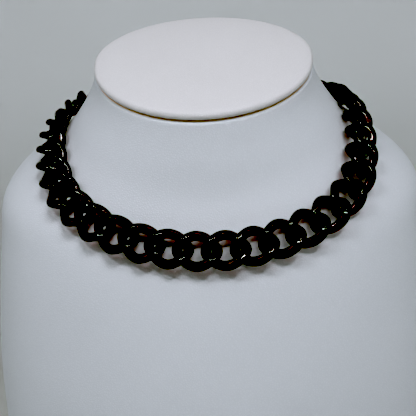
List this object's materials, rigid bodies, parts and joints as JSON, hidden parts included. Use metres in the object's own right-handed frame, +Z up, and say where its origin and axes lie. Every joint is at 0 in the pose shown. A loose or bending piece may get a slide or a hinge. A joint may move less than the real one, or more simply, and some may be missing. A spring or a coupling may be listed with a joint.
{
  "type": "cuban link chain necklace on a neck bust",
  "caption": "Twisted oval links of clear dark red acrylic join in a choker loop, worn on a white neck bust with a sloping padded cap, which stands on its flat base.",
  "frame": {"origin": "middle of the bust's base, on the surface that it stands on", "axes": "+Z up, -Y towards the viewer that the chest faces, +X to that viewer's right"},
  "size_m": [0.21, 0.131, 0.2093],
  "materials": {
    "bust_cover": "white leatherette, smooth and matte with a fine grain",
    "cap_cover": "white leatherette, wrapped over a padded disc",
    "acrylic": "polished clear acrylic, dark wine red",
    "clasp_metal": "plain silver-coloured plating"
  },
  "bodies": {
    "root": {"bust_body": "bust_cover", "bust_cap": "cap_cover", "link_01": "acrylic", "link_02": "acrylic", "link_03": "acrylic", "link_04": "acrylic", "link_05": "acrylic", "link_06": "acrylic", "link_07": "acrylic", "link_08": "acrylic", "link_09": "acrylic", "link_10": "acrylic", "link_11": "acrylic", "link_12": "acrylic", "link_13": "acrylic", "link_14": "acrylic", "link_15": "acrylic", "link_16": "acrylic", "link_17": "acrylic", "link_18": "acrylic", "link_19": "acrylic", "link_20": "acrylic", "link_21": "acrylic", "link_22": "acrylic", "link_23": "acrylic", "link_24": "acrylic", "link_25": "acrylic", "link_26": "acrylic", "link_27": "acrylic", "link_28": "acrylic", "link_29": "acrylic", "link_30": "acrylic", "link_31": "acrylic", "link_32": "acrylic", "link_33": "acrylic", "link_34": "acrylic", "link_35": "acrylic", "link_36": "acrylic", "link_37": "acrylic", "link_38": "acrylic", "clasp": "clasp_metal"}
  },
  "joints": []
}
